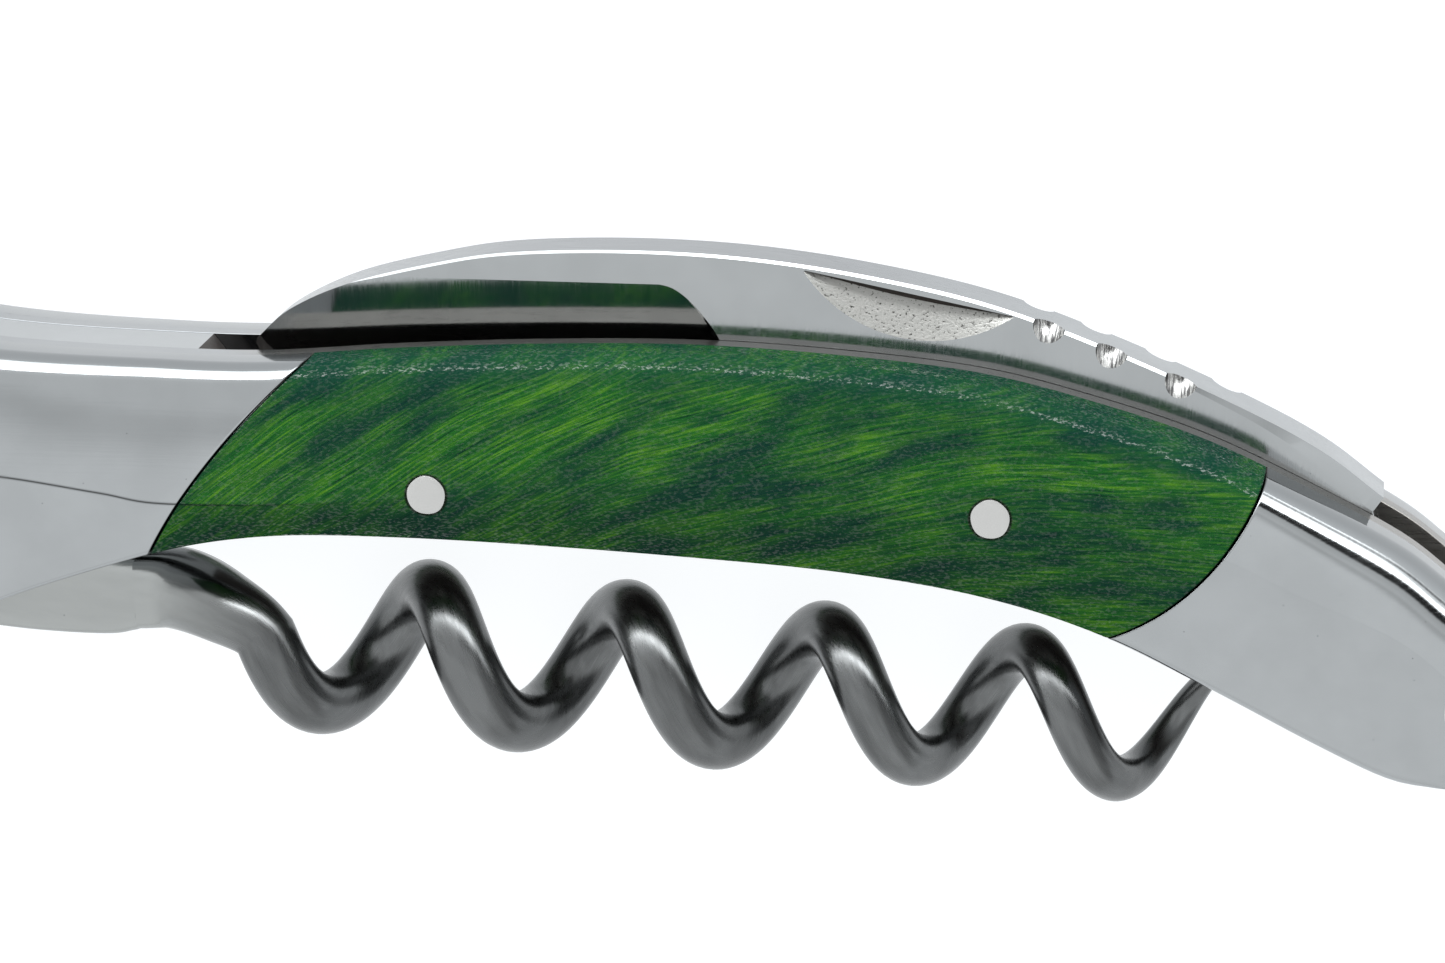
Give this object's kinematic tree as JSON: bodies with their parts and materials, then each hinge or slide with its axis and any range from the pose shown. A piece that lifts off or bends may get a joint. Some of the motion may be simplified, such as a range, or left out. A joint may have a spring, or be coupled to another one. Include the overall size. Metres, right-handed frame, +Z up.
{
  "type": "waiters corkscrew",
  "caption": "Folding waiter's corkscrew with steel bolsters, green dyed scales, a foil blade, a coiled worm and a flat lever, shown folded.",
  "frame": {"origin": "on the ground plane under the middle of the folded tool's bounding box, the tool lying on its right side", "axes": "+X along the handle from the lever end to the butt, +Y towards the blade's side of the handle, +Z up through the thickness"},
  "size_m": [0.1154, 0.025, 0.0125],
  "materials": {
    "polished_steel": "polished stainless steel with fine hand-polishing lines",
    "blade_steel": "mirror-polished blade steel, ground front half",
    "worm_steel": "darker polished wire with fine drawing marks along it",
    "pin_steel": "satin steel pins, hammered and dressed flush",
    "dyed_scale": "dark green dyed handle scale with yellow-green grain under gloss lacquer"
  },
  "bodies": {
    "handle": {"liner_left": "polished_steel", "liner_right": "polished_steel", "front_bolster_left": "polished_steel", "front_bolster_right": "polished_steel", "rear_bolster_left": "polished_steel", "rear_bolster_right": "polished_steel", "scale_left": "dyed_scale", "scale_right": "dyed_scale", "back_spring": "polished_steel", "blade_pivot_pin": "pin_steel", "worm_pivot_pin": "pin_steel", "lever_pivot_pin": "pin_steel", "front_scale_pin": "pin_steel", "rear_scale_pin": "pin_steel", "spring_rivet": "pin_steel", "front_bolster_rivet_left": "pin_steel", "front_bolster_rivet_right": "pin_steel", "rear_bolster_rivet_left": "pin_steel", "rear_bolster_rivet_right": "pin_steel"},
    "blade": {"foil_blade": "blade_steel"},
    "worm": {"worm": "worm_steel"},
    "lever": {"lever": "polished_steel"}
  },
  "joints": [
    {"name": "blade_hinge", "type": "hinge", "parent": "handle", "child": "blade", "pos_m": [0.05438, -0.00617, 0.00625], "axis": [0, 0, -1], "range_deg": [0, 178]},
    {"name": "worm_hinge", "type": "hinge", "parent": "handle", "child": "worm", "pos_m": [-0.01882, -0.00227, 0.00625], "axis": [0, 0, -1], "range_deg": [0, 95]},
    {"name": "lever_hinge", "type": "hinge", "parent": "handle", "child": "lever", "pos_m": [-0.05232, 0.00113, 0.00625], "axis": [0, 0, -1], "range_deg": [0, 178]}
  ]
}
